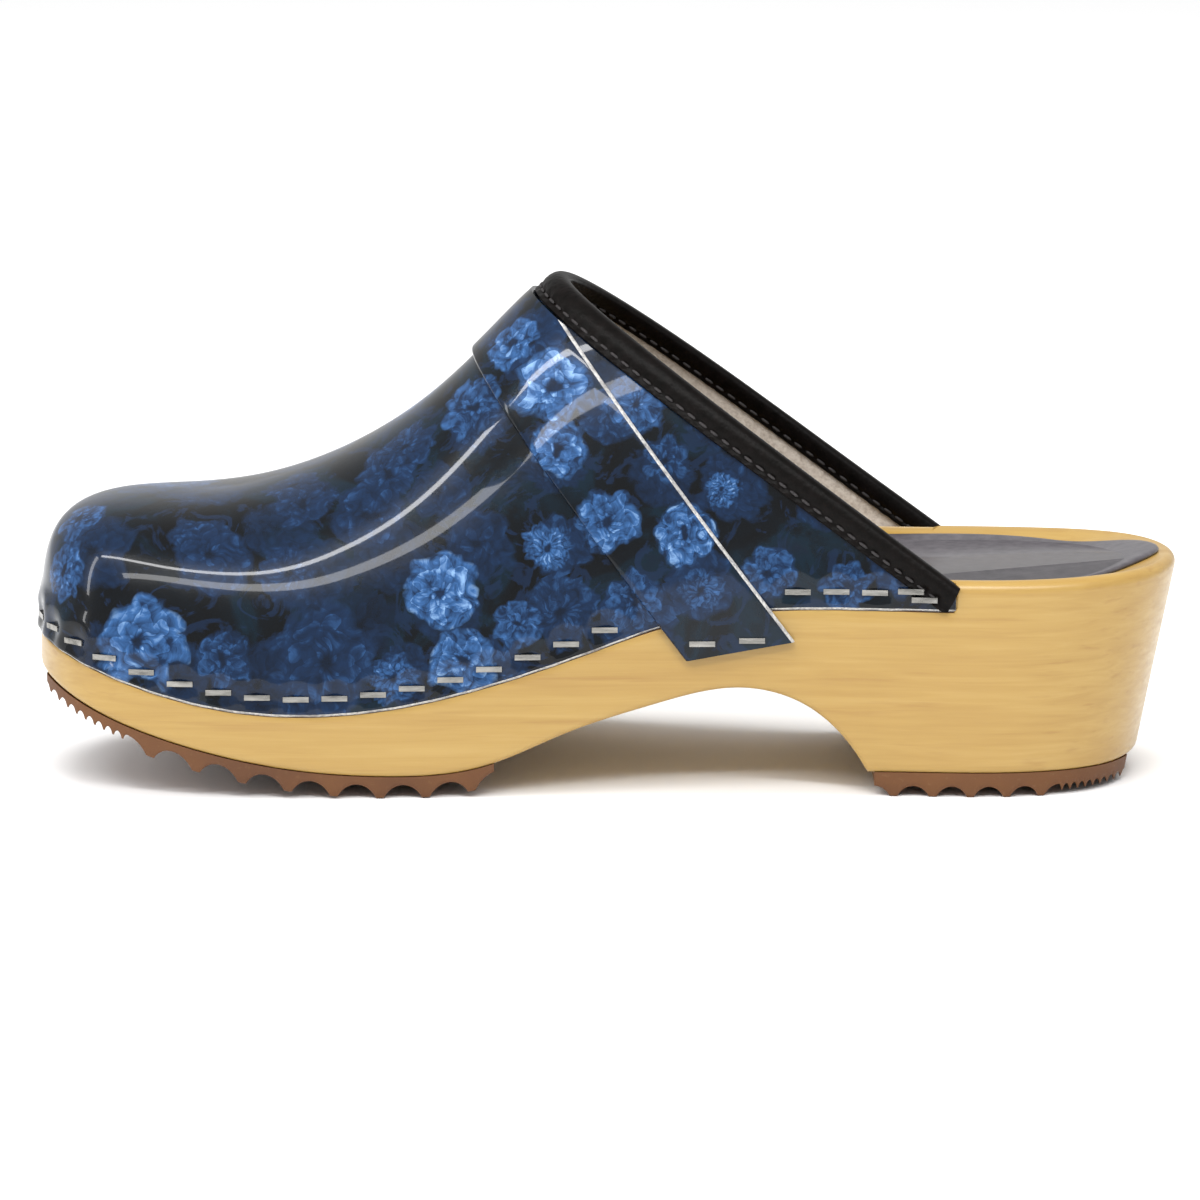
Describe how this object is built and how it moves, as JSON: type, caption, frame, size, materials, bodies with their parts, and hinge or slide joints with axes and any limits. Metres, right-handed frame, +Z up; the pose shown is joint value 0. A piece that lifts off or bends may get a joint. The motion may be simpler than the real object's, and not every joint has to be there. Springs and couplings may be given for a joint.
{
  "type": "wooden clog",
  "caption": "Closed-toe clog with a one-piece wooden sole and heel, a stapled patent leather upper with a flower print, a strap over the instep, a padded topline and ribbed rubber outsoles.",
  "frame": {"origin": "on the ground, under the middle of the clog's box", "axes": "toe towards -X, heel towards +X, inner (medial) side towards -Y, up is +Z"},
  "size_m": [0.2508, 0.094, 0.1101],
  "materials": {
    "wood": "clear satin varnish",
    "rubber": "matt brown",
    "steel": "drawn wire",
    "sock_leather": "smooth",
    "patent_leather": "gloss patent with a blue flower print",
    "stiffener": "matt",
    "binding_leather": "grained satin",
    "foam": "soft foam",
    "thread": "twisted thread"
  },
  "bodies": {
    "root": {"wooden_sole": "wood", "forefoot_outsole": "rubber", "heel_outsole": "rubber", "forefoot_outsole_nails": "steel", "heel_outsole_nails": "steel", "heel_sock": "sock_leather", "upper": "patent_leather", "toe_puff": "stiffener", "topline_binding": "binding_leather", "binding_foam": "foam", "binding_thread": "thread", "instep_strap": "patent_leather", "medial_staples": "steel", "toe_staples": "steel", "lateral_staples": "steel", "strap_staples": "steel", "binding_end_staples": "steel"}
  },
  "joints": []
}
